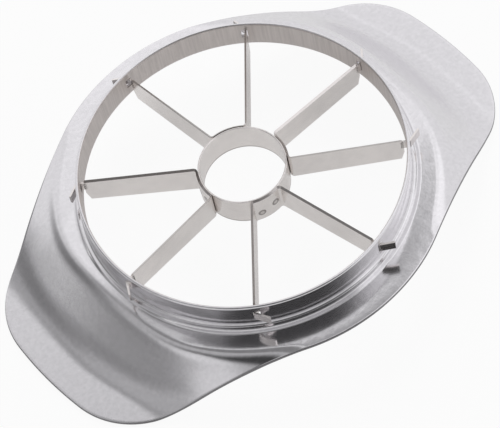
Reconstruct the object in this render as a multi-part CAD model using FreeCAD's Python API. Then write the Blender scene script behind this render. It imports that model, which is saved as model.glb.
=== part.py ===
import FreeCAD, Part
import os
from math import sin, cos, tan, radians, degrees, atan2, sqrt

os.makedirs("parts", exist_ok=True)
V = FreeCAD.Vector
UP = V(0, 0, 1)

# The slicer lies cutting side up and rests on the backs of its two wings.
# X runs along the wings, Y across them, Z up, and the origin is under the middle of the ring.

# Sheet of the frame
SHEET = 1.0
TIP_TOP = 1.0
FLANGE_TOP = 14.1
LIP_TOP = 24.8

# Collar, drawn up from the flange over a narrow step
COLLAR_IN = 47.2
COLLAR_OUT = COLLAR_IN + SHEET
LIP_ROUND = 0.45
LEDGE_TOP = 15.5
LEDGE_OUT = 50.0
BASE_BEND = 0.8
STEP_BEND = 0.5
FOOT_SINK = 0.05

# Plan outline: round flange, straight flanks, round corners, slightly bowed ends
FLANGE_R = 58.5
FLANK_ANGLE = 25.9
CORNER_R = 25.0
END_R = 122.0
WING_REACH = 79.6

# Ramp of the wings, from the flange down to the flat grips
RAMP_START_R = 52.0
RAMP_START_LEAST = 20.0
RAMP_END_MIDDLE = 71.0
RAMP_END_SIDE = 63.0
RAMP_END_TURN = 35.0
SHEET_REACH = 84.0
RAMP_STATIONS = (0, 8, 16, 24, 32, 40, 46, 50, 54, 62)
# At the wing roots the step fades and the ledge runs straight into the ramp
ROOT_ANGLE = 27.0
ROOT_HALF_WIDTH = 30.0
ROOT_LIFT = 1.25
ROOT_SHIFT = 1.5
SHEET_EDGE_ROOT = 49.5
SHEET_EDGE_SIDE = 50.9

# Core ring
CORE_IN = 12.4
CORE_OUT = 12.9
CORE_BOTTOM = 12.6
CORE_TOP = 22.7
CORE_RIM = 0.12

# Blade strips
STRIP = 0.6
BLADE_BOTTOM = 13.0
BLADE_TOP = 23.0
BEVEL_HEIGHT = 1.6
BEVEL_FLAT = 0.12
LAND_GAP = 0.03
STRIP_BEND = 1.0
# Each arm is set by its angle at the core ring and its angle at the collar
STRIPS = {
    "blade_strip_1": ((-37.1, -36.7), (5.0, 1.2)),
    "blade_strip_2": ((43.6, 47.0), (90.3, 93.6)),
    "blade_strip_3": ((141.1, 140.6), (187.5, 185.4)),
    "blade_strip_4": ((239.9, 232.2), (280.1, 280.7)),
}
SHOULDER_R = 46.7
CORNER_CUT_TOP = 0.6
CORNER_CUT_LOW = 4.0

# Tangs and the slots they lock in
TANG_LOW = 18.9
TANG_TOP = 22.1
TANG_SLACK = 0.15
TANG_LENGTH = 3.6
TANG_TURN = 48.0
TANG_BEND = 0.7
SLOT_WIDTH = 2.0

# Spot welds pressed into the lands
WELD_R = 1.0
WELD_DEPTH = 0.12
WELD_SPREAD = 8.5
WELD_DROP = 1.2


def polar(radius, angle, z=0.0):
    """Point at a radius and an angle in degrees."""
    return V(radius * cos(radians(angle)), radius * sin(radians(angle)), z)


def save(shape, node):
    shape.exportStep("parts/" + node + ".step")
    print(node, "valid", shape.isValid(), "volume", round(shape.Volume, 1))


def smooth(value):
    """Rises from 0 to 1 with no kink at either end."""
    value = min(1.0, max(0.0, value))
    return value * value * (3.0 - 2.0 * value)


def ramp_at(v):
    """Ramp's start, end and start height on the line across the wing at Y = v."""
    root = 1.0 - smooth(v / ROOT_HALF_WIDTH)
    ring = sqrt(max(0.0, (RAMP_START_R - ROOT_SHIFT * root) ** 2 - v * v))
    start = (ring ** 6 + RAMP_START_LEAST ** 6) ** (1.0 / 6.0)
    end = RAMP_END_MIDDLE - (RAMP_END_MIDDLE - RAMP_END_SIDE) * smooth(v / RAMP_END_TURN)
    return start, end, FLANGE_TOP + ROOT_LIFT * root


def ramp_poles(v, depth):
    """Control points of the ramp's section at Y = v, moved down into the sheet by a depth."""
    start, end, high = ramp_at(v)
    slope = atan2(1.5 * (high - TIP_TOP), end - start)
    # Moving the two inner control points keeps the sheet's thickness on the slope
    lean = depth * (1.0 - cos(slope)) / (0.75 * sin(slope))
    third = (end - start) / 3.0
    return [
        V(start, v, high - depth),
        V(start + third - lean, v, high - depth),
        V(end - third - lean, v, TIP_TOP - depth),
        V(end, v, TIP_TOP - depth),
    ]


def across(points):
    """Smooth curve across the wing through one point for each station."""
    curve = Part.BSplineCurve()
    curve.interpolate(
        Points=list(points),
        Parameters=[float(v) for v in RAMP_STATIONS],
        InitialTangent=V(0, 1, 0),
        FinalTangent=V(0, 1, 0),
        Scale=False,
    )
    return curve


def ramp_face(depth):
    """S-shaped ramp: its sections at the stations, joined by one smooth surface."""
    rows = [across(row) for row in zip(*[ramp_poles(v, depth) for v in RAMP_STATIONS])]
    surface = Part.BSplineSurface()
    surface.buildFromPolesMultsKnots(
        [row.getPoles() for row in rows], [4, 4], rows[0].getMultiplicities(),
        [0.0, 1.0], rows[0].getKnots(), False, False, 3, rows[0].Degree,
    )
    return surface.toShape()


def flange_face(depth):
    """Flange, straight along the wing from the middle line to the ramp's start."""
    starts = [ramp_poles(v, depth)[0] for v in RAMP_STATIONS]
    middle = across([V(0, p.y, p.z) for p in starts])
    return Part.makeRuledSurface(middle.toShape(), across(starts).toShape())


def grip_face(depth):
    """Flat grip beyond the ramp's end."""
    end = across([ramp_poles(v, depth)[3] for v in RAMP_STATIONS]).toShape()
    near, far = end.Vertexes[0].Point, end.Vertexes[-1].Point
    corners = [far, V(SHEET_REACH, far.y, far.z), V(SHEET_REACH, near.y, near.z), near]
    sides = [Part.LineSegment(a, b).toShape() for a, b in zip(corners, corners[1:])]
    return Part.Face(Part.Wire([end] + sides))


def plan_quarter():
    """Quarter of the plan outline, tangent arc to line to arc to arc."""
    tilt = radians(FLANK_ANGLE)
    normal = V(sin(tilt), cos(tilt), 0)
    along = V(cos(tilt), -sin(tilt), 0)
    end_centre = V(WING_REACH - END_R, 0, 0)
    base = normal * (FLANGE_R - CORNER_R) - end_centre
    b = base.dot(along)
    c = base.dot(base) - (END_R - CORNER_R) ** 2
    corner_centre = normal * (FLANGE_R - CORNER_R) + along * (-b + sqrt(b * b - c))
    outward = (corner_centre - end_centre).normalize()
    mid_corner = (normal + outward).normalize()
    top = V(0, FLANGE_R, 0)
    flank_start = normal * FLANGE_R
    flank_end = corner_centre + normal * CORNER_R
    corner_end = corner_centre + outward * CORNER_R
    tip = V(WING_REACH, 0, 0)
    mid_flange = V(sin(tilt / 2), cos(tilt / 2), 0) * FLANGE_R
    half = atan2(outward.y, outward.x) / 2
    mid_end = end_centre + V(cos(half), sin(half), 0) * END_R
    return [
        Part.Arc(top, mid_flange, flank_start).toShape(),
        Part.LineSegment(flank_start, flank_end).toShape(),
        Part.Arc(flank_end, corner_centre + mid_corner * CORNER_R, corner_end).toShape(),
        Part.Arc(corner_end, mid_end, tip).toShape(),
        Part.LineSegment(tip, polar(SHEET_EDGE_ROOT, 0)).toShape(),
        plan_arc(SHEET_EDGE_ROOT, 0, ROOT_ANGLE),
        Part.LineSegment(
            polar(SHEET_EDGE_ROOT, ROOT_ANGLE),
            polar(SHEET_EDGE_SIDE, ROOT_ANGLE),
        ).toShape(),
        plan_arc(SHEET_EDGE_SIDE, ROOT_ANGLE, 90),
        Part.LineSegment(polar(SHEET_EDGE_SIDE, 90), top).toShape(),
    ]


def plan_arc(radius, start, end):
    """Arc about the ring's middle, in plan."""
    middle = (start + end) / 2.0
    return Part.Arc(polar(radius, start), polar(radius, middle), polar(radius, end)).toShape()


def wing_sheet():
    """Flange and wings: flange, ramp and grip of one quarter, mirrored twice."""
    plan = Part.Face(Part.Wire(plan_quarter()))
    plan.translate(V(0, 0, -20))
    prism = plan.extrude(V(0, 0, 60))
    pieces = []
    for face in (flange_face, ramp_face, grip_face):
        filled = face(0.0).extrude(V(0, 0, -40))
        hollow = face(SHEET).extrude(V(0, 0, -40))
        pieces.append(prism.common(filled).cut(hollow))
    quarter = pieces[0].fuse(pieces[1:])
    half = quarter.fuse(quarter.mirror(V(0, 0, 0), V(0, 1, 0)))
    return half.fuse(half.mirror(V(0, 0, 0), V(1, 0, 0))).removeSplitter()


def section(points):
    """Flat face in the XZ plane, from its corner points."""
    ring = [V(x, 0, z) for x, z in points]
    return Part.Face(Part.makePolygon(ring + ring[:1]))


def bend(centre, radius, start, end, flats):
    """Points of a small bend, drawn as a few flats that touch its arc's ends."""
    points = []
    for i in range(flats + 1):
        turn = radians(start + (end - start) * i / float(flats))
        points.append((centre[0] + radius * cos(turn), centre[1] + radius * sin(turn)))
    return points


def collar_profile(stepped):
    """Half section of the collar; without the step it ends at the ledge."""
    lip = LIP_ROUND
    base = (COLLAR_OUT + BASE_BEND, LEDGE_TOP + BASE_BEND)
    under = FLANGE_TOP - SHEET + FOOT_SINK
    over = FLANGE_TOP - FOOT_SINK
    foot = LEDGE_OUT + STEP_BEND
    points = bend((COLLAR_OUT - lip, LIP_TOP - lip), lip, 0, 90, 2)
    points += bend((COLLAR_IN + lip, LIP_TOP - lip), lip, 90, 180, 2)
    points += bend(base, BASE_BEND + SHEET, 180, 270, 2)
    if stepped:
        points += [(foot, under), (foot + 1.5, under), (foot + 1.5, over), (foot, over)]
        points += [(LEDGE_OUT, over + STEP_BEND)]
    else:
        points += [(LEDGE_OUT, LEDGE_TOP - 1.7 * SHEET)]
    points += [(LEDGE_OUT, LEDGE_TOP - STEP_BEND), (LEDGE_OUT - STEP_BEND, LEDGE_TOP)]
    points += bend(base, BASE_BEND, 270, 180, 2)
    return section(points)


def collar():
    """Collar turned in four sectors: stepped along the flange, plain at the wing roots."""
    sectors = []
    for middle in (0, 180):
        plain = collar_profile(False)
        plain.rotate(V(0, 0, 0), UP, middle - ROOT_ANGLE)
        sectors.append(plain.revolve(V(0, 0, 0), UP, 2 * ROOT_ANGLE))
        stepped = collar_profile(True)
        stepped.rotate(V(0, 0, 0), UP, middle + ROOT_ANGLE)
        sectors.append(stepped.revolve(V(0, 0, 0), UP, 180 - 2 * ROOT_ANGLE))
    return sectors[0].multiFuse(sectors[1:]).removeSplitter()


def slot(angle):
    """Pierced slot, a little larger than the tang and open to one side of it."""
    height = TANG_TOP - TANG_LOW + 2 * TANG_SLACK
    box = Part.makeBox(6, SLOT_WIDTH, height, V(COLLAR_IN - 2.5, -0.5, TANG_LOW - TANG_SLACK))
    box.rotate(V(0, 0, 0), UP, angle)
    return box


def frame():
    shape = collar().fuse(wing_sheet())
    for arms in STRIPS.values():
        for arm in arms:
            shape = shape.cut(slot(arm[1]))
    return shape


def core_ring():
    """Short thin tube with softened rims."""
    r = CORE_RIM
    profile = section([
        (CORE_IN, CORE_BOTTOM + r),
        (CORE_IN + r, CORE_BOTTOM),
        (CORE_OUT - r, CORE_BOTTOM),
        (CORE_OUT, CORE_BOTTOM + r),
        (CORE_OUT, CORE_TOP - r),
        (CORE_OUT - r, CORE_TOP),
        (CORE_IN + r, CORE_TOP),
        (CORE_IN, CORE_TOP - r),
    ])
    return profile.revolve(V(0, 0, 0), UP, 360)


def arm_line(arm):
    """Ends of an arm's centre line in plan, at the land and at the shoulder."""
    inner, outer = polar(land_radius(), arm[0]), polar(SHOULDER_R, arm[1])
    return inner, outer


def land_radius():
    return CORE_OUT + LAND_GAP + STRIP / 2.0


def strip_plan(arms):
    """Centre line of a strip in plan, offset to the strip's thickness."""
    (a_in, a_out), (b_in, b_out) = arm_line(arms[0]), arm_line(arms[1])
    r = land_radius()
    middle = polar(r, (arms[0][0] + arms[1][0]) / 2.0)
    first, bend_a, land_a = corner(a_out, a_in, 1)
    last, bend_b, land_b = corner(b_out, b_in, -1)
    edges = [
        Part.LineSegment(a_out, first).toShape(),
        Part.Arc(first, bend_a, land_a).toShape(),
        Part.Arc(land_a, middle, land_b).toShape(),
        Part.Arc(land_b, bend_b, last).toShape(),
        Part.LineSegment(last, b_out).toShape(),
    ]
    return Part.Wire(edges)


def corner(outer, inner, side):
    """Bend between an arm and the land: its two ends and a point half way."""
    along = (outer - inner).normalize()
    across = V(-along.y, along.x, 0) * side
    r = land_radius()
    # The bend's centre lies one bend radius beside the arm, outside the land's circle
    shift = inner + across * STRIP_BEND
    b = shift.dot(along)
    c = shift.dot(shift) - (r + STRIP_BEND) ** 2
    centre = shift + along * (-b + sqrt(b * b - c))
    on_arm = centre - across * STRIP_BEND
    toward = centre * (-1.0 / centre.Length)
    on_land = centre + toward * STRIP_BEND
    middle = centre + (toward - across).normalize() * STRIP_BEND
    return on_arm, middle, on_land


def thicken(wire):
    """Closed face around an open plan wire, flat at both ends."""
    one = wire.makeOffset2D(STRIP / 2.0, 0, False, True)
    two = wire.makeOffset2D(-STRIP / 2.0, 0, False, True)
    ends_one = [one.OrderedVertexes[0].Point, one.OrderedVertexes[-1].Point]
    ends_two = [two.OrderedVertexes[0].Point, two.OrderedVertexes[-1].Point]
    if ends_one[0].distanceToPoint(ends_two[0]) > ends_one[0].distanceToPoint(ends_two[1]):
        ends_two.reverse()
    caps = [Part.LineSegment(a, b).toShape() for a, b in zip(ends_one, ends_two)]
    edges = Part.sortEdges(one.Edges + two.Edges + caps)[0]
    return Part.Face(Part.Wire(edges))


def arm_frame(arm):
    """Placement that carries X along the arm, Y across it, from the land outward."""
    inner, outer = arm_line(arm)
    angle = degrees(atan2(outer.y - inner.y, outer.x - inner.x))
    return FreeCAD.Placement(inner, FreeCAD.Rotation(UP, angle)), (outer - inner).Length


def placed_prism(points, width, place):
    """Prism whose side view is drawn in the arm's XZ plane."""
    ring = [V(x, -width / 2.0, z) for x, z in points]
    prism = Part.Face(Part.makePolygon(ring + ring[:1])).extrude(V(0, width, 0))
    prism.Placement = place
    return prism


def bevel_cutter(arm, side):
    """Wedge that grinds one flank of an arm's upper edge."""
    place, length = arm_frame(arm)
    low = BLADE_TOP - BEVEL_HEIGHT
    rise = 0.5
    slope = (STRIP / 2.0 - BEVEL_FLAT / 2.0) / BEVEL_HEIGHT
    points = [
        V(STRIP_BEND + 1.0, side * (STRIP / 2.0), low),
        V(STRIP_BEND + 1.0, side * (BEVEL_FLAT / 2.0 - slope * rise), BLADE_TOP + rise),
        V(STRIP_BEND + 1.0, side * (STRIP / 2.0 + 1.0), BLADE_TOP + rise),
        V(STRIP_BEND + 1.0, side * (STRIP / 2.0 + 1.0), low),
    ]
    cutter = Part.Face(Part.makePolygon(points + points[:1])).extrude(V(length, 0, 0))
    cutter.Placement = place
    return cutter


def end_cutters(arm):
    """Upper and lower corners taken off an arm where it meets the collar."""
    place, length = arm_frame(arm)
    end = length + 1.0
    neck = length - 0.6
    upper = [
        (neck - CORNER_CUT_TOP, BLADE_TOP + 1),
        (neck - CORNER_CUT_TOP, BLADE_TOP),
        (neck, TANG_TOP),
        (end, TANG_TOP),
        (end, BLADE_TOP + 1),
    ]
    lower = [
        (neck - 1.0, BLADE_BOTTOM - 1),
        (neck - 1.0, BLADE_BOTTOM + 0.6),
        (neck, BLADE_BOTTOM + CORNER_CUT_LOW),
        (neck, TANG_LOW),
        (end, TANG_LOW),
        (end, BLADE_BOTTOM - 1),
    ]
    return [placed_prism(upper, 4, place), placed_prism(lower, 4, place)]


def tang(arm):
    """Tang through the slot, bent over along the collar outside."""
    _, outer = arm_line(arm)
    place, _ = arm_frame(arm)
    along = place.Rotation.multVec(V(1, 0, 0))
    start = outer - along * 0.4
    through = COLLAR_OUT + 0.7 - SHOULDER_R
    knee = outer + along * through
    turned = FreeCAD.Rotation(UP, TANG_TURN).multVec(along)
    end = knee + turned * TANG_LENGTH
    radius = TANG_BEND
    back = radius * tan(radians(TANG_TURN / 2.0))
    p1, p2 = knee - along * back, knee + turned * back
    side = V(-along.y, along.x, 0)
    half = FreeCAD.Rotation(UP, TANG_TURN / 2.0).multVec(side)
    middle = p1 + (side - half) * radius
    wire = Part.Wire([
        Part.LineSegment(start, p1).toShape(),
        Part.Arc(p1, middle, p2).toShape(),
        Part.LineSegment(p2, end).toShape(),
    ])
    face = thicken(wire)
    face.translate(V(0, 0, TANG_LOW))
    return face.extrude(V(0, 0, TANG_TOP - TANG_LOW))


def weld_marks(arms):
    """Two shallow round marks left by spot welding on the outside of the land."""
    middle = (arms[0][0] + arms[1][0]) / 2.0
    outside = land_radius() + STRIP / 2.0
    height = (BLADE_TOP + BLADE_BOTTOM) / 2.0
    marks = []
    for turn, drop in ((-WELD_SPREAD, WELD_DROP), (WELD_SPREAD, -WELD_DROP)):
        start = polar(outside - WELD_DEPTH, middle + turn, height + drop)
        out = polar(1.0, middle + turn)
        marks.append(Part.makeCylinder(WELD_R, 2.0, start, out))
    return marks


def blade_strip(arms):
    """One strip: land, two bends, two ground arms and two locked tangs."""
    plan = thicken(strip_plan(arms))
    plan.translate(V(0, 0, BLADE_BOTTOM))
    shape = plan.extrude(V(0, 0, BLADE_TOP - BLADE_BOTTOM))
    for arm in arms:
        for side in (1, -1):
            shape = shape.cut(bevel_cutter(arm, side))
        for cutter in end_cutters(arm):
            shape = shape.cut(cutter)
    for arm in arms:
        shape = shape.fuse(tang(arm))
    for mark in weld_marks(arms):
        shape = shape.cut(mark)
    return shape.removeSplitter()


save(frame(), "frame")
save(core_ring(), "core_ring")
for node, arms in STRIPS.items():
    save(blade_strip(arms), node)
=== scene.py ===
# %% [markdown]
# An apple slicer lies cutting side up: a polished sheet frame with two wings, a collar drawn up
# from it, and eight thin blades that meet at a core ring.
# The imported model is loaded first. It gives every piece its size and its place, and the scene
# only dresses it: a finer sheet, ground blades, spot welds, finishes, light and a camera.
# Blender works in metres and the part is drawn in millimetres, so MM is a millimetre in metres.

# %% Load the frame
from collections import namedtuple
from math import atan2, cos, degrees, pi, radians, sin, sqrt

import bmesh
import bpy
import numpy as np
from mathutils import Matrix, Vector


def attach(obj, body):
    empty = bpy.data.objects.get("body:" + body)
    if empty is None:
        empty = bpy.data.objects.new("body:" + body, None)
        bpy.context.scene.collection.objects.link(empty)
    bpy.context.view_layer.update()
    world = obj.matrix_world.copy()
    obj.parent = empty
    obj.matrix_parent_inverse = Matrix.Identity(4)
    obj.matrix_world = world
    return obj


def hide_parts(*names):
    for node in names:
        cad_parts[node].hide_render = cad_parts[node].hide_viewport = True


MM = 0.001

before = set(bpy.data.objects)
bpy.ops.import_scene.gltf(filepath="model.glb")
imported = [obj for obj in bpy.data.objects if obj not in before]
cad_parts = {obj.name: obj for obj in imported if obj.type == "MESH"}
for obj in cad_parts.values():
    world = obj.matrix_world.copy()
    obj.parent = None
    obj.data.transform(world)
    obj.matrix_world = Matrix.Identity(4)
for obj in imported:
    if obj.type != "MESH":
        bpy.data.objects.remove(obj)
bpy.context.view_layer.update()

# %% [markdown]
# The camera stands where the photograph was taken from: two thirds of a metre away, above the
# left wing, looking down at 58 degrees. A long lens keeps the perspective gentle.
# A Track To constraint could aim it, but it would hold the camera level. This picture is rolled
# a little to one side, so the camera's three axes are written out as a matrix instead.

# %% Camera
# The place is in metres and the lens in millimetres
CAMERA_PLACE = Vector((-0.18030, -0.31524, 0.57943))
CAMERA_FORWARD = Vector((0.26047, 0.45951, -0.84912))
CAMERA_UP = Vector((0.6239, 0.5911, 0.5112))
CAMERA_LENS = 167.6


def add_camera():
    data = bpy.data.cameras.new("camera")
    data.lens = CAMERA_LENS
    data.sensor_width = 36.0
    data.sensor_fit = "HORIZONTAL"
    data.clip_start = 0.01
    data.clip_end = 20.0
    camera = bpy.data.objects.new("camera", data)
    back = -CAMERA_FORWARD.normalized()
    right = CAMERA_UP.cross(back).normalized()
    up = back.cross(right)
    axes = Matrix((right, up, back)).transposed().to_4x4()
    camera.matrix_world = Matrix.Translation(CAMERA_PLACE) @ axes
    bpy.context.scene.collection.objects.link(camera)
    bpy.context.scene.camera = camera
    return camera


camera = add_camera()
print("camera distance in mm:", round(camera.location.length / MM))

# %% [markdown]
# Finishes are made of shader nodes. Their maths reads better as plain expressions, so a small
# class wraps a socket: `1 - mask * 0.5` then adds its own Math nodes.
# One function, make, adds any other node from its type, its settings and its inputs.

# %% Shader helper
class Value:
    """A socket of a node tree that can be used in sums."""

    def __init__(self, tree, socket):
        self.tree = tree
        self.socket = socket

    def math(self, operation, *others):
        """A Math node with this socket as its first input."""
        inputs = {i: v for i, v in enumerate((self,) + others)}
        return make(self.tree, "ShaderNodeMath", {"operation": operation}, inputs)

    def __add__(self, other):
        return self.math("ADD", other)

    __radd__ = __add__

    def __mul__(self, other):
        return self.math("MULTIPLY", other)

    __rmul__ = __mul__

    def __rsub__(self, other):
        return make(self.tree, "ShaderNodeMath", {"operation": "SUBTRACT"}, {0: other, 1: self})


def plug(tree, socket, value):
    """Link a socket, or set its number or colour."""
    if isinstance(value, Value):
        tree.links.new(value.socket, socket)
    elif isinstance(value, tuple) and len(value) == 3 and socket.type == "RGBA":
        socket.default_value = value + (1.0,)
    else:
        socket.default_value = value


def make(tree, kind, settings=None, inputs=None, output=0):
    """Any node: its type, its settings first, then what goes into its sockets."""
    node = tree.nodes.new(kind)
    for name, value in (settings or {}).items():
        setattr(node, name, value)
    for name, value in (inputs or {}).items():
        plug(tree, node.inputs[name], value)
    return Value(tree, node.outputs[output]) if len(node.outputs) else None


def between(value, low, high, rises=True):
    """0 to 1, with soft ends, as the value goes from low to high."""
    # Sockets 1 and 2 are the range that comes in, 3 and 4 the range that goes out
    ends = {3: 0.0, 4: 1.0} if rises else {3: 1.0, 4: 0.0}
    inputs = {0: value, 1: low, 2: high, **ends}
    settings = {"interpolation_type": "SMOOTHSTEP"}
    return make(value.tree, "ShaderNodeMapRange", settings, inputs)


def mix_colour(factor, first, second):
    # Inputs 6 and 7 and output 2 are the ones that carry colours
    inputs = {0: factor, 6: first, 7: second}
    return make(factor.tree, "ShaderNodeMix", {"data_type": "RGBA"}, inputs, 2)


def shaded(colour, share):
    return tuple(share * c for c in colour)


def new_material(name):
    material = bpy.data.materials.new(name)
    material.use_nodes = True
    material.node_tree.nodes.clear()
    return material, material.node_tree


def marked(tree, name):
    """The named value that is written on the points of a mesh."""
    return make(tree, "ShaderNodeAttribute", {"attribute_name": name}, output="Fac")


def split(tree, vector):
    """The x, y and z of a vector."""
    return [make(tree, "ShaderNodeSeparateXYZ", None, {0: vector}, i) for i in range(3)]


def place_in_mm(tree):
    """Where a point of the part is, in millimetres, as a vector and as x, y, z values."""
    spot = make(tree, "ShaderNodeTexCoord", output="Object")
    inputs = {0: spot, "Scale": 1.0 / MM}
    spot = make(tree, "ShaderNodeVectorMath", {"operation": "SCALE"}, inputs)
    return spot, split(tree, spot)


print("shader helper ready")

# %% [markdown]
# The frame is one stamped sheet. Its wings run down in an S from a round flange to flat grips,
# and a collar rises inside the flange over a narrow step.
# The solid could be shown as it is, but its mesh has flat facets, and mirror metal shows every
# one. So the sheet is drawn again from the solid's main sizes, with a formula for its height
# that follows the ramps of the real sheet a little closer.

# %% Sizes of the sheet, in mm
SHEET = 1.0
TIP_TOP, FLANGE_TOP, LIP_TOP = 1.0, 14.1, 24.8
COLLAR_IN, LIP_ROUND = 47.2, 0.45
COLLAR_OUT = COLLAR_IN + SHEET
FLANGE_R, FLANK_ANGLE, CORNER_R, END_R, WING_REACH = 58.5, 25.9, 25.0, 122.0, 79.6
EDGE_ROUND = 0.28
# The crease at the head of the ramp follows the ring and then, at the flanks, a straight line.
# The power sets how tightly one runs into the other. The root of a wing pulls the crease in.
CREASE_R, CREASE_LEAST, CREASE_POWER = 54.5, 24.0, 6
ROOT_WIDE, ROOT_PULL, ROOT_RISE = 30.0, 3.0, 1.25
# The foot of the ramp lies nearer the ring on both flanks of a wing, and most on one of them
FOOT, FLANK_WIDE, FOOT_NEARER, FOOT_NEAREST = 71.2, 35.0, 1.5, 5.0
# Shares of the ramp that its crease and the bend at its foot take
CREASE, FOOT_BEND = 0.22, 0.47
# The near rim of the flange stands up a little: how much, and where that starts and ends
RIM_RISE, RIM_NEAR, RIM_LEFT, RIM_OUT = 0.25, (22.0, 34.0), (25.0, 0.0), (51.0, 59.0)


def smooth(value):
    value = np.clip(value, 0.0, 1.0)
    return value * value * (3.0 - 2.0 * value)


def ease(value, start, end):
    """0 at start, 1 at end, and soft at both."""
    return smooth((value - start) / (end - start))


def slope(part):
    """Goes from 0 to 1 down the ramp: a crisp crease, a straight slope and a long soft bend."""
    part = np.clip(part, 0.0, 1.0)
    crease = np.where(part < CREASE, part ** 2 / (2 * CREASE), part - CREASE / 2)
    late = np.maximum(0.0, part - (1.0 - FOOT_BEND))
    return (crease - late ** 2 / (2 * FOOT_BEND)) / (1.0 - CREASE / 2 - FOOT_BEND / 2)


def sheet_height(x, y):
    """Top of the flange and wings over a point of the plan."""
    along, across = np.abs(x), np.abs(y)
    root = 1.0 - smooth(across / ROOT_WIDE)
    ring = np.sqrt(np.maximum(0.0, (CREASE_R - ROOT_PULL * root) ** 2 - across ** 2))
    start = (ring ** CREASE_POWER + CREASE_LEAST ** CREASE_POWER) ** (1.0 / CREASE_POWER)
    side = y * np.sign(x)
    flanks = FOOT_NEARER * smooth(-side / FLANK_WIDE) + FOOT_NEAREST * smooth(side / FLANK_WIDE)
    rim = ease(-y, *RIM_NEAR) * ease(x, *RIM_LEFT) * ease(np.hypot(x, y), *RIM_OUT)
    high = FLANGE_TOP + ROOT_RISE * root + RIM_RISE * rim
    return high - (high - TIP_TOP) * slope((along - start) / (FOOT - flanks - start))


def sheet_drop(x, y):
    """How far below the top the underside is, so that the sheet keeps its thickness."""
    nudge = 0.05
    slope_x = (sheet_height(x + nudge, y) - sheet_height(x - nudge, y)) / (2 * nudge)
    slope_y = (sheet_height(x, y + nudge) - sheet_height(x, y - nudge)) / (2 * nudge)
    return SHEET * np.sqrt(1.0 + slope_x ** 2 + slope_y ** 2)


FLANGE_SPOT, GRIP_SPOT = (0, 55), (78, 0)
heights = [round(float(sheet_height(*spot)), 2) for spot in (FLANGE_SPOT, GRIP_SPOT)]
print("height in mm over the flange and over the grip:", heights)

# %% [markdown]
# Seen from above, the sheet is a round flange with two straight flanks a side, round corners and
# bowed ends. A curve object could hold that outline, but the sheet needs to know its reach at
# any angle. So each line and arc is met by a ray from the middle of the ring.

# %% Outline
# In degrees: where the slots are, and how far each reaches to both sides of its own angle
SLOT_ANGLES = (-36.7, 1.2, 47.0, 93.6, 140.6, 185.4, 232.2, 280.7)
SLOT_BEFORE, SLOT_AFTER = 0.6, 1.8
COLUMNS = 480


def ray_to_circle(direction, centre, radius):
    """How far a ray from the middle runs until it leaves a circle."""
    along = direction @ centre
    inside_root = along ** 2 - centre @ centre + radius ** 2
    return along + np.sqrt(np.maximum(inside_root, 0.0))


def outline_reach(turn):
    """Distance from the ring's middle to the outline, for an array of angles."""
    tilt = radians(FLANK_ANGLE)
    normal = np.array([sin(tilt), cos(tilt)])
    along = np.array([cos(tilt), -sin(tilt)])
    end_centre = np.array([WING_REACH - END_R, 0.0])
    # A round corner touches its flank and the bowed end, which places its centre
    start = normal * (FLANGE_R - CORNER_R)
    corner = start + along * ray_to_circle(along, end_centre - start, END_R - CORNER_R)
    outward = (corner - end_centre) / np.linalg.norm(corner - end_centre)
    corner_end = corner + outward * CORNER_R
    flank_end = corner + normal * CORNER_R
    ray = np.stack([np.abs(np.cos(turn)), np.abs(np.sin(turn))], axis=1)
    angle = np.arctan2(ray[:, 1], ray[:, 0])
    reach = np.full(len(turn), FLANGE_R)
    reach = np.where(angle < pi / 2 - tilt, FLANGE_R / (ray @ normal), reach)
    by_corner = ray_to_circle(ray, corner, CORNER_R)
    reach = np.where(angle < atan2(flank_end[1], flank_end[0]), by_corner, reach)
    by_end = ray_to_circle(ray, end_centre, END_R)
    return np.where(angle < atan2(corner_end[1], corner_end[0]), by_end, reach)


def slot_edges(angle):
    return radians(angle - SLOT_BEFORE) % (2 * pi), radians(angle + SLOT_AFTER) % (2 * pi)


def column_angles():
    """Even angles round the ring, moved a little so that every slot has its own columns."""
    turn = np.arange(COLUMNS) * 2 * pi / COLUMNS
    for angle in SLOT_ANGLES:
        for edge in slot_edges(angle):
            turn[int(round(edge / (2 * pi) * COLUMNS)) % COLUMNS] = edge
    return turn


turn = column_angles()
reach = outline_reach(turn)
print("outline reach in mm, least and most:", round(reach.min(), 1), round(reach.max(), 1))

# %% [markdown]
# A lathe or a Screw modifier would suit the collar, but not the wings. So one section of the
# sheet is followed as a closed loop: over the lip, down the outside of the collar, out over the
# step and the wing, round the sheared edge, back below and up the inside.
# Every point of the loop becomes a ring of points, one for each angle.

# %% Rings of the section
LEDGE_TOP, BASE_BEND = 15.5, 0.8
# Radii: where the ledge ends and the step runs down to the flange, on top and underneath
LEDGE_FROM, STEP_FROM, STEP_TO = 49.1, 49.55, 50.45
LOW_STEP_FROM, LOW_STEP_TO, LOW_LEDGE_TO = 49.0, 49.8, 49.9
# The wall needs a ring at the foot and at the top of a slot, and has three more
SLOT_LOW, SLOT_TOP = 18.75, 22.25
WALL_HEIGHTS = (23.6, SLOT_TOP, 20.5, SLOT_LOW, 17.5)
LIP_RINGS, BASE_RINGS, SHEET_RINGS, EDGE_RINGS = 6, 8, 46, 5
LEDGE_RINGS, LOW_LEDGE_RINGS = 14, 6


def round_rings(centre, radius, start, end, steps):
    """Rings of a bend that runs all the way round the collar."""
    rings = []
    for angle in np.radians(np.linspace(start, end, steps)):
        r = centre[0] + radius * cos(angle)
        z = centre[1] + radius * sin(angle)
        rings.append((np.full(COLUMNS, r), np.full(COLUMNS, z)))
    return rings


def wall_rings(radius, heights):
    return [(np.full(COLUMNS, radius), np.full(COLUMNS, z)) for z in heights]


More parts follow.
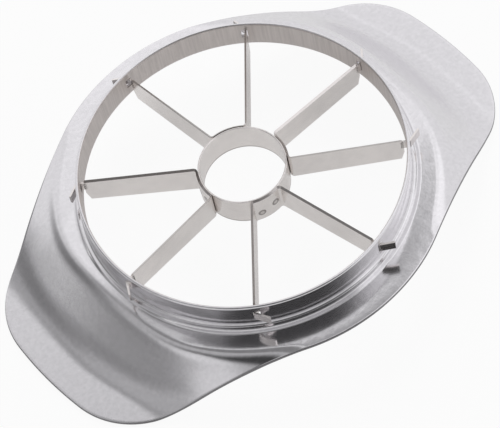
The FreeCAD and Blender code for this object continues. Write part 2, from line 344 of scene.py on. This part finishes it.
def over_sheet(radii, below, step_from, step_to):
    """Rings that lie on the top or on the underside of the sheet."""
    rings = []
    for r in radii:
        x, y = r * np.cos(turn), r * np.sin(turn)
        z = sheet_height(x, y)
        ledge = LEDGE_TOP
        if below:
            z = z - sheet_drop(x, y)
            ledge = LEDGE_TOP - SHEET
        z = ledge + (z - ledge) * ease(r, step_from, step_to)
        rings.append((r, z))
    return rings


def edge_rings():
    """The sheared edge, with its two corners slightly rounded."""
    inner = reach - EDGE_ROUND
    x, y = inner * np.cos(turn), inner * np.sin(turn)
    top = sheet_height(x, y) - EDGE_ROUND
    low = sheet_height(x, y) - sheet_drop(x, y) + EDGE_ROUND
    rings = []
    for height, start, end in ((top, 90, 0), (low, 0, -90)):
        for angle in np.radians(np.linspace(start, end, EDGE_RINGS)):
            rings.append((inner + EDGE_ROUND * cos(angle), height + EDGE_ROUND * sin(angle)))
    return rings


base = (COLLAR_OUT + BASE_BEND, LEDGE_TOP + BASE_BEND)
lip_high = LIP_TOP - LIP_ROUND
share = np.linspace(0.0, 1.0, SHEET_RINGS)[1:-1]
sheet_radii = [STEP_TO + (reach - EDGE_ROUND - STEP_TO) * s for s in share]
ledge_radii = [np.full(COLUMNS, r) for r in np.linspace(LEDGE_FROM, STEP_TO, LEDGE_RINGS)]
low_ledge = np.linspace(LOW_LEDGE_TO, LEDGE_FROM, LOW_LEDGE_RINGS)
low_radii = [np.full(COLUMNS, r) for r in low_ledge]

outside = round_rings((COLLAR_OUT - LIP_ROUND, lip_high), LIP_ROUND, 90, 0, LIP_RINGS)
outside += wall_rings(COLLAR_OUT, WALL_HEIGHTS)
outside += round_rings(base, BASE_BEND, 180, 270, BASE_RINGS)
outside += over_sheet(ledge_radii + sheet_radii, False, STEP_FROM, STEP_TO)
outside += edge_rings()
# Half as many rings are enough for the underside
underneath = over_sheet(sheet_radii[::-2] + low_radii, True, LOW_STEP_FROM, LOW_STEP_TO)
underneath += round_rings(base, BASE_BEND + SHEET, 270, 180, BASE_RINGS - 1)
inside = wall_rings(COLLAR_IN, WALL_HEIGHTS[::-1])
inside += round_rings((COLLAR_IN + LIP_ROUND, lip_high), LIP_ROUND, 180, 90, LIP_RINGS)
rings = outside + underneath + inside
print("rings:", len(rings), "points:", len(rings) * COLUMNS)

# %% [markdown]
# The rings are joined into four-sided faces. Eight upright slots are pierced through the collar.
# A Boolean could cut them, but it would leave long thin faces that a polished wall shows. So
# the faces between a slot's columns and heights are left out of both walls, and its four sides
# are closed with faces that go through the sheet.

# %% Build the sheet
CLOSE = 1e-6
SHEET_SHARP = 40


def add_mesh(name, points, faces, sharp):
    """A new object from points in millimetres, smooth but for edges sharper than an angle."""
    mesh = bpy.data.meshes.new(name)
    mesh.from_pydata([[MM * v for v in p] for p in points], [], faces)
    work = bmesh.new()
    work.from_mesh(mesh)
    bmesh.ops.recalc_face_normals(work, faces=work.faces)
    work.to_mesh(mesh)
    work.free()
    mesh.shade_smooth()
    mesh.set_sharp_from_angle(angle=radians(sharp))
    piece = bpy.data.objects.new(name, mesh)
    bpy.context.scene.collection.objects.link(piece)
    return piece


def ring_index(radius, height):
    """Which ring lies at this radius and height all the way round."""
    for i, (r, z) in enumerate(rings):
        if abs(r[0] - radius) < CLOSE and abs(z[0] - height) < CLOSE:
            return i
    raise ValueError("no such ring")


def slot_columns():
    """The columns that each slot takes out of the wall."""
    spans = []
    for angle in SLOT_ANGLES:
        first, last = [int(np.argmin(np.abs(turn - edge))) for edge in slot_edges(angle)]
        spans.append([(first + k) % COLUMNS for k in range((last - first) % COLUMNS)])
    return spans


def face(*corners):
    """A face of the sheet, from corners that are each a ring and a column."""
    return [ring * COLUMNS + column for ring, column in corners]


def slot_sides(span, out_top, out_low, in_low, in_top):
    """Faces through the sheet on the four sides of one slot."""
    faces = []
    for k in range(out_low - out_top):
        upper, lower = out_top + k, out_top + k + 1
        in_upper, in_lower = in_top - k, in_top - k - 1
        for c in (span[0], (span[-1] + 1) % COLUMNS):
            faces.append(face((upper, c), (lower, c), (in_lower, c), (in_upper, c)))
    for c in span:
        d = (c + 1) % COLUMNS
        for outer, inner in ((out_top, in_top), (out_low, in_low)):
            faces.append(face((outer, c), (outer, d), (inner, d), (inner, c)))
    return faces


def sheet_faces():
    """Every face of the sheet, with the slots left out of the walls."""
    out_top, out_low = ring_index(COLLAR_OUT, SLOT_TOP), ring_index(COLLAR_OUT, SLOT_LOW)
    in_low, in_top = ring_index(COLLAR_IN, SLOT_LOW), ring_index(COLLAR_IN, SLOT_TOP)
    pierced = {c for span in slot_columns() for c in span}
    slot_rings = set(range(out_top, out_low)) | set(range(in_low, in_top))
    faces = []
    for i in range(len(rings)):
        for c in range(COLUMNS):
            if i in slot_rings and c in pierced:
                continue
            j, d = (i + 1) % len(rings), (c + 1) % COLUMNS
            faces.append(face((i, c), (j, c), (j, d), (i, d)))
    for span in slot_columns():
        faces += slot_sides(span, out_top, out_low, in_low, in_top)
    return faces


points = []
for r, z in rings:
    points += np.stack([r * np.cos(turn), r * np.sin(turn), z], axis=1).tolist()
sheet = add_mesh("formed_sheet", points, sheet_faces(), SHEET_SHARP)
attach(sheet, "root")
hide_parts("frame")
print("sheet faces:", len(sheet.data.polygons))

# %% [markdown]
# The sheared edge is cut and never buffed, so it is duller, and its dark colour is painted shade.
# It could be a second material, but a hard border would show. So a named value on the points
# marks it, fades over one row of faces, and tells the finish where the edge is.

# %% Mark the cut edge
EDGE_SPARE = 2


def mark_points(piece, name, values):
    """Write a named value on every point of a piece, for its finish to read."""
    layer = piece.data.attributes.new(name, "FLOAT", "POINT")
    layer.data.foreach_set("value", values)


# The edge takes the last rings of the outside, and the first and last few stay bright
edge_start = len(outside) - 2 * EDGE_RINGS + EDGE_SPARE
edge_end = len(outside) - EDGE_SPARE
marks = np.zeros(len(sheet.data.vertices), np.float32)
marks[edge_start * COLUMNS:edge_end * COLUMNS] = 1.0
mark_points(sheet, "cut_edge", marks)
print("rings of the cut edge:", edge_end - edge_start)

# %% [markdown]
# The top of the sheet is bright stainless steel, buffed until it mirrors its surroundings
# softly. The inside of the collar is left as drawn: dull, with fine upright draw marks.
# Two materials would meet in a hard line on the lip. One material does both, and a mask from
# the distance to the collar's axis changes over. Noise gives a faint mottle and shallow dents.

# %% Polished sheet
POLISHED, MOTTLE_SHADE = (0.885, 0.873, 0.89), 0.93
DRAWN, DRAW_SHADE = (0.74, 0.69, 0.665), 0.86
# The cut edge's colour is painted shade, as dark as the shadowed paper beside the edge
CUT_EDGE_SHADE, CUT_EDGE_SHADE_SHARE = (0.16, 0.155, 0.16), 0.9
INNER_FROM, INNER_TO = COLLAR_IN + 0.1, COLLAR_IN + 0.4
WING_FROM, WING_TO = 40.0, 60.0
BUFFED_ROUGH, HAZE_ROUGH, DRAWN_ROUGH, WING_ROUGH = 0.10, 0.06, 0.30, 0.11
GRAIN_DEEP, DENT_DEEP, BUMP_DEEP = 0.02, 0.9, 0.1 * MM
# Noise lies mostly between these two values
NOISE_LOW, NOISE_HIGH = 0.3, 0.7


def fine_noise(tree, vector, scale, detail=3.0, roughness=0.5):
    inputs = {"Vector": vector, "Scale": scale, "Detail": detail, "Roughness": roughness}
    return make(tree, "ShaderNodeTexNoise", {"noise_dimensions": "3D"}, inputs)


def collar_spot(tree, x, y, z, along, up):
    """A place on the collar's wall, unrolled: along the wall and up it."""
    angle = make(tree, "ShaderNodeMath", {"operation": "ARCTAN2"}, {0: y, 1: x})
    return make(tree, "ShaderNodeCombineXYZ", None, {0: angle * along, 1: z * up, 2: 0.0})


def finish_metal(tree, colour, roughness, bump, strength):
    """Close a material as bare metal with a fine bump."""
    inputs = {"Strength": strength, "Distance": BUMP_DEEP, "Height": bump}
    inputs = {
        "Base Color": colour,
        "Metallic": 1.0,
        "Roughness": roughness,
        "Normal": make(tree, "ShaderNodeBump", None, inputs),
    }
    shader = make(tree, "ShaderNodeBsdfPrincipled", None, inputs)
    make(tree, "ShaderNodeOutputMaterial", None, {"Surface": shader})


def polished_sheet():
    material, tree = new_material("polished_sheet")
    spot, (x, y, z) = place_in_mm(tree)
    from_axis = (x * x + y * y).math("SQRT")
    inner = between(from_axis, INNER_FROM, INNER_TO, rises=False)
    wing = between(x.math("ABSOLUTE"), WING_FROM, WING_TO)
    wall = collar_spot(tree, x, y, z, along=60.0, up=0.06)
    draw = fine_noise(tree, wall, scale=1.0, detail=4.0, roughness=0.6)
    haze = fine_noise(tree, spot, scale=0.05, roughness=0.6)
    grain = fine_noise(tree, spot, scale=6.0, detail=2.0, roughness=0.6)
    mottle = fine_noise(tree, spot, scale=0.8, detail=4.0, roughness=0.65)
    dent = fine_noise(tree, spot, scale=0.30, roughness=0.55)
    streaks = between(draw, NOISE_LOW, NOISE_HIGH)
    patches = between(mottle, NOISE_LOW, NOISE_HIGH)
    drawn = mix_colour(streaks, shaded(DRAWN, DRAW_SHADE), DRAWN)
    buffed = mix_colour(patches, shaded(POLISHED, MOTTLE_SHADE), POLISHED)
    colour = mix_colour(inner, buffed, drawn)
    # Painted shade darkens the cut edge
    colour = mix_colour(marked(tree, "cut_edge") * CUT_EDGE_SHADE_SHARE, colour, CUT_EDGE_SHADE)
    roughness = BUFFED_ROUGH + HAZE_ROUGH * haze + DRAWN_ROUGH * inner + WING_ROUGH * wing
    height = inner * draw + GRAIN_DEEP * grain + DENT_DEEP * dent * (1.0 - inner)
    finish_metal(tree, colour, roughness, height, strength=0.25)
    return material


sheet.data.materials.append(polished_sheet())
print("finish of the sheet:", sheet.data.materials[0].name)

# %% [markdown]
# The blades are four strips of thin steel. Each strip is two blades: it runs in from the collar,
# lies against the core ring for a short way and runs out again. Its upper edge is ground on one
# side only, like a chisel, and some ground edges carry painted shade: dark reflections in their
# colour.
# The solids could stay, but they are ground on both sides, and their tangs are all bent alike.
# So each strip is drawn again from its line in plan. The line is worked out first: an arm, a
# small bend, the land on the core ring, and back out.

# %% Line of a strip, in mm
STRIP, STRIP_BEND, NECK_R = 0.6, 1.0, 46.3
CORE_OUT, LAND_GAP = 12.9, 0.03
LAND_R = CORE_OUT + LAND_GAP + STRIP / 2
BEND_STEPS, LAND_STEPS = 6, 12
# For each arm: its angle at the core ring, its slot's angle at the collar, how far its tang is
# turned, and how much painted shade, a dark reflection, darkens its ground edge, from 0 to 1
Arm = namedtuple("Arm", "ring_angle slot_angle turn tint")
RING_ANGLES = (-37.1, 5.0, 43.6, 90.3, 141.1, 187.5, 239.9, 280.1)
TANG_TURNS = (50.0, 50.0, 50.0, 50.0, 66.0, 56.0, 66.0, 45.0)
PAINTED_EDGE_SHADES = (0.2, 0.0, 0.3, 0.6, 1.0, 0.3, 0.9, 0.5)
ARMS = [Arm(*values) for values in zip(RING_ANGLES, SLOT_ANGLES, TANG_TURNS, PAINTED_EDGE_SHADES)]
STRIPS = {f"blade_strip_{i + 1}": ARMS[2 * i:2 * i + 2] for i in range(4)}


def polar(radius, angle):
    return Vector((radius * cos(radians(angle)), radius * sin(radians(angle))))


def turned(vector, angle):
    c, s = cos(radians(angle)), sin(radians(angle))
    return Vector((vector.x * c - vector.y * s, vector.x * s + vector.y * c))


def arm_line(arm):
    """Ends of an arm in plan, on the land and at the neck, and its direction outward."""
    inner, outer = polar(LAND_R, arm.ring_angle), polar(NECK_R, arm.slot_angle)
    return inner, outer, (outer - inner).normalized()


def corner(arm, side):
    """Points of the bend from an arm into the land, starting on the arm."""
    inner, _, along = arm_line(arm)
    across = turned(along, 90) * side
    start = inner + across * STRIP_BEND
    # The bend's centre lies beside the arm, and one bend's radius outside the land
    back = start.dot(along)
    centre = start + along * (sqrt(back ** 2 - start.dot(start) + (LAND_R + STRIP_BEND) ** 2) - back)
    first, last = -across, -centre.normalized()
    step = -degrees(first.angle_signed(last)) / BEND_STEPS
    return [centre + turned(first, step * k) * STRIP_BEND for k in range(BEND_STEPS + 1)]


def strip_line(arms):
    """A strip's line in plan: in along one arm, over the land, out along the other."""
    start, end = corner(arms[0], 1), corner(arms[1], -1)[::-1]
    low = atan2(start[-1].y, start[-1].x)
    high = atan2(end[0].y, end[0].x)
    step = ((high - low) % (2 * pi)) / LAND_STEPS
    land = [polar(LAND_R, degrees(low + step * k)) for k in range(1, LAND_STEPS)]
    return start + land + end


print("line points of a strip:", len(strip_line(STRIPS["blade_strip_1"])))

# %% [markdown]
# Each arm ends in a narrow tang, which goes through its slot of the collar and is bent over
# outside. The photograph shows the near tangs bent by different amounts, so each has its own.
# A curve with a bevel has the same section all along, but the ends of a strip are cut lower. So
# the section is moved along the line here, with its own lower and upper edge at every point.

# %% Move a section along a line
BLADE_BOTTOM, BLADE_TOP, GRIND, SOFT_EDGE = 13.0, 23.0, 0.55, 0.05
TANG_LOW, TANG_TOP = 18.9, 22.1
TANG_LENGTH, TANG_BEND, TANG_STEPS = 4.3, 0.55, 5
KNEE_R, TANG_ROOT = COLLAR_OUT - 0.30, 0.8
# How far inside the neck an arm has these lower and upper edges, which cut off its corners
ARM_END = ((0.0, 17.0, TANG_TOP), (0.6, 15.0, BLADE_TOP), (1.0, 13.6, BLADE_TOP))
STRIP_SHARP = 30


def sweep_section(line, heights, grind):
    """Points and faces of a strip: a section at every point of the line, closed at both ends.

    heights holds the lower and the upper edge at every point."""
    points, faces = [], []
    half, soft = STRIP / 2, SOFT_EDGE
    for i, here in enumerate(line):
        before, after = line[max(i - 1, 0)], line[min(i + 1, len(line) - 1)]
        left = turned((after - before).normalized(), 90)
        low, high = heights[i]
        section = [
            (-half, low + soft), (-half, high - grind), (half - soft, high), (half, high - soft),
            (half, low + soft), (half - soft, low), (soft - half, low),
        ]
        points += [tuple(here + left * offset) + (z,) for offset, z in section]
    n = len(section)
    for i in range(len(line) - 1):
        for k in range(n):
            a, b = i * n + k, i * n + (k + 1) % n
            faces.append((a, b, b + n, a + n))
    faces.append(tuple(range(n)))
    faces.append(tuple(range((len(line) - 1) * n, len(line) * n)))
    return points, faces


def arm_ends(arm):
    """Points and heights near the neck of an arm, from the neck inward."""
    _, neck, along = arm_line(arm)
    line = [neck - along * inward for inward, low, high in ARM_END]
    return line, [(low, high) for inward, low, high in ARM_END]


def tang_line(arm):
    """Line of a tang in plan, from inside the arm, through the slot and round its bend."""
    _, neck, along = arm_line(arm)
    knee = neck + along * (KNEE_R - NECK_R)
    centre = knee + turned(along, 90) * TANG_BEND
    step = arm.turn / TANG_STEPS
    arc = [centre + turned(knee - centre, step * k) for k in range(TANG_STEPS + 1)]
    end = arc[-1] + turned(along, arm.turn) * TANG_LENGTH
    return [neck - along * TANG_ROOT] + arc + [end]


def strip_mesh(arms):
    """Points and faces of a whole strip: its band and its two tangs."""
    first, first_heights = arm_ends(arms[0])
    last, last_heights = arm_ends(arms[1])
    middle = strip_line(arms)
    heights = first_heights + [(BLADE_BOTTOM, BLADE_TOP)] * len(middle) + last_heights[::-1]
    points, faces = sweep_section(first + middle + last[::-1], heights, GRIND)
    for arm in arms:
        tang = tang_line(arm)
        more, sides = sweep_section(tang, [(TANG_LOW, TANG_TOP)] * len(tang), SOFT_EDGE)
        faces += [tuple(i + len(points) for i in side) for side in sides]
        points += more
    return points, faces


print("points of a strip:", len(strip_mesh(STRIPS["blade_strip_1"])[0]))

# %% [markdown]
# The four strips are added, and each takes the place of its plain solid. The painted shade of a
# ground edge belongs to one arm, and a strip has two, so it can't be a number of the material. It
# is written on the points, fades from one arm to the other over the land, and the finish reads it.

# %% Add the strips
ARM_SPREAD, LEAST_SHARES = 0.95, 0.001


def edge_tint(arms, point):
    """How much painted shade darkens the ground edge at a point: as its arm's, or halfway between on
    the land.
    """
    way = Vector(point[:2]).normalized()
    shares = [max(0.0, way.dot(polar(1.0, arm.slot_angle)) - ARM_SPREAD) for arm in arms]
    if sum(shares) < LEAST_SHARES:
        return 0.5 * (arms[0].tint + arms[1].tint)
    return sum(share * arm.tint for share, arm in zip(shares, arms)) / sum(shares)


def add_strip(node, arms):
    points, faces = strip_mesh(arms)
    piece = add_mesh(node + "_ground", points, faces, STRIP_SHARP)
    mark_points(piece, "edge_tint", [edge_tint(arms, point) for point in points])
    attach(piece, "root")
    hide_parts(node)
    return piece


blades = [add_strip(node, arms) for node, arms in STRIPS.items()]
print("strips:", len(blades), "faces each:", [len(b.data.polygons) for b in blades])

# %% [markdown]
# Two spot welds hold each land to the core ring. Outside they show as small sunken discs with a
# dark ring of heat round them. A picture or a bump could fake them, but a real shape catches
# the light from every side. They are thin discs laid on the land, made of rings of points, and
# a named value on the points marks how much the heat has darkened them.

# %% Spot welds
# Where the welds of a land are: the angle from its middle, and the height
WELDS = ((-10.3, 16.2), (9.5, 17.6))
# The rings of a disc: radius, how far it stands off the land, and how dark the heat left it
WELD_RINGS = (
    (0.00, 0.030, 0.50),
    (0.35, 0.032, 0.30),
    (0.60, 0.050, 0.55),
    (0.80, 0.060, 1.00),
    (1.10, 0.050, 1.00),
    (1.25, 0.020, 0.30),
)
WELD_STEPS, WELD_SHARP = 20, 60


def weld_points(out, height):
    """Points of one disc on the land's round face, with how dark the heat left each."""
    points, heat = [], []
    for radius, rise, dark in WELD_RINGS:
        for k in range(WELD_STEPS):
            angle = 2 * pi * k / WELD_STEPS
            around = radius * cos(angle)
            depth = sqrt((LAND_R + STRIP / 2) ** 2 - around ** 2) + rise
            spot = out * depth + turned(out, 90) * around
            points.append((spot.x, spot.y, height + radius * sin(angle)))
            heat.append(dark)
    return points, heat


def add_welds():
    points, faces, heat = [], [], []
    for arms in STRIPS.values():
        middle = (arms[0].ring_angle + arms[1].ring_angle) / 2
        for angle, height in WELDS:
            for ring in range(len(WELD_RINGS) - 1):
                start = len(points) + ring * WELD_STEPS
                for k in range(WELD_STEPS):
                    a, b = start + k, start + (k + 1) % WELD_STEPS
                    faces.append((a, b, b + WELD_STEPS, a + WELD_STEPS))
            more, darks = weld_points(polar(1.0, middle + angle), height)
            points += more
            heat += darks
    welds = add_mesh("spot_welds", points, faces, WELD_SHARP)
    mark_points(welds, "weld_tint", heat)
    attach(welds, "root")
    return welds


welds = add_welds()
print("weld discs:", len(welds.data.polygons), "faces")

# %% [markdown]
# Blades and core ring are cut from thin cold rolled strip. It is never buffed, so it looks
# matte and warm grey, with a very fine grain and a few faint stains. The ground edges and the
# tangs are smoother, and pick up the dark or the light of the room.
# A material for each of these would repeat the same steel, so one material does all of them,
# with masks from the height, the distance to the axis and the named values on the points.

# %% Blade steel
STRIP_COLOUR, STRIP_SHADE = (0.91, 0.87, 0.845), 0.90
# The welds' heat colour is also the colour of the painted shade and of the darker lower edge on the
# blades
HEAT_AND_SHADE_COLOUR, HEAT_SHARE, EDGE_SHADE_SHARE = (0.20, 0.18, 0.17), 0.8, 0.85
STRIP_ROUGH, STAIN_ROUGH, SMOOTHED = 0.22, 0.06, 0.5
GRAIN_LOW, GRAIN_HIGH = 0.25, 0.75
GROUND_Z = (BLADE_TOP - GRIND - 0.06, BLADE_TOP - GRIND)
TANG_R = (47.6, 48.0)
# On the near side, painted shade darkens the lands' top edge in a line just above the core ring
GAP_SHADE_Z, GAP_SHADE_Y, GAP_SHADE_SHARE = (22.8, 22.95), (-8.0, 2.0), 0.75
GAP_SHADE_R = (CORE_OUT, CORE_OUT + 2 * LAND_GAP)
# The blades are darker in a thin line along their lower edge
LOW_EDGE_DARK_Z, LOW_EDGE_DARK_SHARE = (BLADE_BOTTOM, BLADE_BOTTOM + 0.35), 0.55


def blade_steel():
    material, tree = new_material("blade_steel")
    spot, (x, y, z) = place_in_mm(tree)
    from_axis = (x * x + y * y).math("SQRT")
    grain = fine_noise(tree, spot, scale=7.0, detail=2.0, roughness=0.7)
    stain = fine_noise(tree, spot, scale=0.25, detail=2.0)
    stains = between(stain, NOISE_LOW, NOISE_HIGH)
    shade = 0.5 * between(grain, GRAIN_LOW, GRAIN_HIGH) + 0.5 * stains
    colour = mix_colour(shade, shaded(STRIP_COLOUR, STRIP_SHADE), STRIP_COLOUR)
    colour = mix_colour(marked(tree, "weld_tint") * HEAT_SHARE, colour, HEAT_AND_SHADE_COLOUR)
    ground = between(z, *GROUND_Z)
    # Painted shade where the lands meet the core ring, on the near side only
    line = between(z, *GAP_SHADE_Z) * between(from_axis, *GAP_SHADE_R, rises=False)
    line = line * between(y, *GAP_SHADE_Y, rises=False) * GAP_SHADE_SHARE
    # Darker in a thin line along the lower edge
    low_edge_dark = between(z, *LOW_EDGE_DARK_Z, rises=False) * LOW_EDGE_DARK_SHARE
    # Painted shade: dark reflections painted on the ground edges, one amount per arm
    dark = (marked(tree, "edge_tint") * ground * EDGE_SHADE_SHARE).math("MAXIMUM", line)
    colour = mix_colour(dark.math("MAXIMUM", low_edge_dark), colour, HEAT_AND_SHADE_COLOUR)
    smoother = (1.0 - SMOOTHED * between(from_axis, *TANG_R)) * (1.0 - SMOOTHED * ground)
    roughness = (STRIP_ROUGH + STAIN_ROUGH * stain) * smoother
    finish_metal(tree, colour, roughness, grain, strength=0.2)
    return material


def dress(node, material):
    """Give a CAD node its finish in all of its material slots."""
    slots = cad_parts[node].material_slots
    for entry in slots:
        entry.material = material
    if not len(slots):
        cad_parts[node].data.materials.append(material)


strip_finish = blade_steel()
for piece in blades + [welds]:
    piece.data.materials.append(strip_finish)
for node in sorted(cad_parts):
    dress(node, sheet.data.materials[0] if node == "frame" else strip_finish)
print("dressed nodes:", len(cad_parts))

# %% [markdown]
# The part lies on white paper. A stronger lamp would turn any floor white, but it would burn out
# the metal too. So the paper glows for camera rays and, less, for reflections, and is plain
# diffuse paper for all other light. It still takes the part's shadow.

# %% Floor
FLOOR_HALF, FLOOR_DROP = 3.0, 0.2 * MM
PAPER, PAPER_SEEN, PAPER_MIRRORED = (0.86, 0.86, 0.86), 0.93, 0.41


def white_paper():
    material, tree = new_material("white_paper")
    rays = ("Is Camera Ray", "Is Glossy Ray", "Is Transmission Ray")
    camera_ray, glossy, through = [make(tree, "ShaderNodeLightPath", output=ray) for ray in rays]
    seen = (camera_ray * PAPER_SEEN).math("MAXIMUM", glossy * PAPER_MIRRORED)
    seen = seen.math("MAXIMUM", through * PAPER_SEEN)
    paper = make(tree, "ShaderNodeBsdfDiffuse", None, {"Color": PAPER})
    white = make(tree, "ShaderNodeEmission", None, {"Color": (1.0, 1.0, 1.0), "Strength": 1.0})
    mixed = make(tree, "ShaderNodeMixShader", None, {0: seen, 1: paper, 2: white})
    make(tree, "ShaderNodeOutputMaterial", None, {"Surface": mixed})
    return material


def add_floor():
    mesh = bpy.data.meshes.new("floor")
    corners = [(-1, -1, 0), (1, -1, 0), (1, 1, 0), (-1, 1, 0)]
    mesh.from_pydata([[FLOOR_HALF * v for v in c] for c in corners], [], [(0, 1, 2, 3)])
    mesh.materials.append(white_paper())
    floor = bpy.data.objects.new("floor", mesh)
    floor.location.z = -FLOOR_DROP
    bpy.context.scene.collection.objects.link(floor)
    return floor


floor = add_floor()
print("floor in metres:", [round(side, 1) for side in floor.dimensions[:2]])

# %% [markdown]
# Polished metal shows its surroundings, so the light is a room as much as it is a lamp. Walls
# and windows could be built as planes, but the room is far away from the part, so the world's
# colour by direction does the same with fewer pieces.
# The right side is a pale wall with a brighter strip of window, the left side is grey, and the
# near side is dark. Each mask is soft, as the edges of a room are in a slightly hazy metal.

# %% Room
ROOM_COLOUR = (0.985, 0.98, 1.0)
PALE, WINDOW, GREY, NEAR_SIDE = 0.80, 0.17, 0.44, 0.05
WINDOW_RISE, WINDOW_FALL = (0.12, 0.26), (0.36, 0.56)
# The grey side fades over x, and over y with this much of x added
GREY_X, GREY_Y, GREY_SLANT = (0.10, 0.30), (0.32, 0.66), 0.6
NEAR_Y, NEAR_RIGHT, NEAR_LEFT, NEAR_Z = (-0.22, 0.0), (0.0, 0.62), (-0.72, -0.52), (0.55, 0.76)
# Spots of the room: a direction, how much brighter or darker it is there, and the two cosines
# of the angle to that direction between which the spot fades in
SPOTS = {
    "low on the left": ((-0.93, 0.27, 0.25), -0.45, 0.90, 0.99),
    "lamp on the left": ((-0.80, -0.16, 0.58), 0.60, 0.95, 0.995),
    "window frame": ((-0.56, 0.00, 0.83), -0.50, 0.985, 0.998),
    "lamp on the right": ((0.60, 0.08, 0.80), 0.28, 0.96, 0.995),
    "far left corner": ((-0.54, 0.70, 0.46), -0.62, 0.92, 0.99),
    "doorway": ((-0.21, 0.53, 0.82), -0.36, 0.970, 0.996),
    "ceiling": ((0.04, 0.22, 0.974), -0.50, 0.968, 0.988),
    "shade overhead": ((0.265, 0.43, 0.863), -0.72, 0.9962, 0.9990),
}


def near(towards, direction, low, high):
    """1 close to a direction of the room and 0 away from it."""
    inputs = {0: towards, 1: tuple(Vector(direction).normalized())}
    settings = {"operation": "DOT_PRODUCT"}
    return between(make(towards.tree, "ShaderNodeVectorMath", settings, inputs, 1), low, high)


def toward(level, target, mask):
    """Moves a level to a target where a mask is 1."""
    return level + mask * (target - level)


def add_room():
    world = bpy.data.worlds.new("room")
    world.use_nodes = True
    tree = world.node_tree
    tree.nodes.clear()
    towards = make(tree, "ShaderNodeTexCoord", output="Generated")
    x, y, z = split(tree, towards)
    window = between(x, *WINDOW_RISE) * between(x, *WINDOW_FALL, rises=False)
    grey = between(x, *GREY_X, rises=False) * between(y + x * GREY_SLANT, *GREY_Y, rises=False)
    front = between(y, *NEAR_Y, rises=False) * between(x, *NEAR_RIGHT, rises=False)
    front = front * between(z, *NEAR_Z) * between(x, *NEAR_LEFT)
    level = toward(PALE + WINDOW * window, GREY, grey)
    level = toward(level, NEAR_SIDE, front)
    for direction, change, low, high in SPOTS.values():
        level = level * (1.0 + change * near(towards, direction, low, high))
    # Behind the part the camera sees plain white instead of the room
    level = toward(level, 1.0, make(tree, "ShaderNodeLightPath", output="Is Camera Ray"))
    inputs = {"Color": ROOM_COLOUR, "Strength": level}
    back = make(tree, "ShaderNodeBackground", None, inputs)
    make(tree, "ShaderNodeOutputWorld", None, {"Surface": back})
    bpy.context.scene.world = world


add_room()
print("room:", len(bpy.context.scene.world.node_tree.nodes), "nodes")

# %% [markdown]
# The room alone would light the part from everywhere, and leave it without a clear shadow. One
# large softbox stands far behind on the right and gives it a direction. A sun lamp would draw a
# hard shadow. The softbox is hidden from reflections, because the room already draws those.

# %% Softbox
SOFTBOX_PLACE = Vector((0.55, 0.75, 0.75))
SOFTBOX_SIDE, SOFTBOX_WATTS = 0.5, 4.0


def add_softbox():
    data = bpy.data.lights.new("softbox_far", "AREA")
    data.shape = "SQUARE"
    data.size = SOFTBOX_SIDE
    data.energy = SOFTBOX_WATTS
    lamp = bpy.data.objects.new("softbox_far", data)
    lamp.location = SOFTBOX_PLACE
    lamp.rotation_euler = (-SOFTBOX_PLACE).to_track_quat("-Z", "Y").to_euler()
    lamp.visible_camera = False
    lamp.visible_glossy = False
    bpy.context.scene.collection.objects.link(lamp)
    return lamp


softbox = add_softbox()
print("softbox distance in metres:", round(softbox.location.length, 2))

# %% [markdown]
# The picture is written with the plain Standard view, so a colour shows as it is set. A filmic
# view would look softer, but it would turn the white paper grey.

# %% Finish
bpy.context.scene.view_settings.view_transform = "Standard"
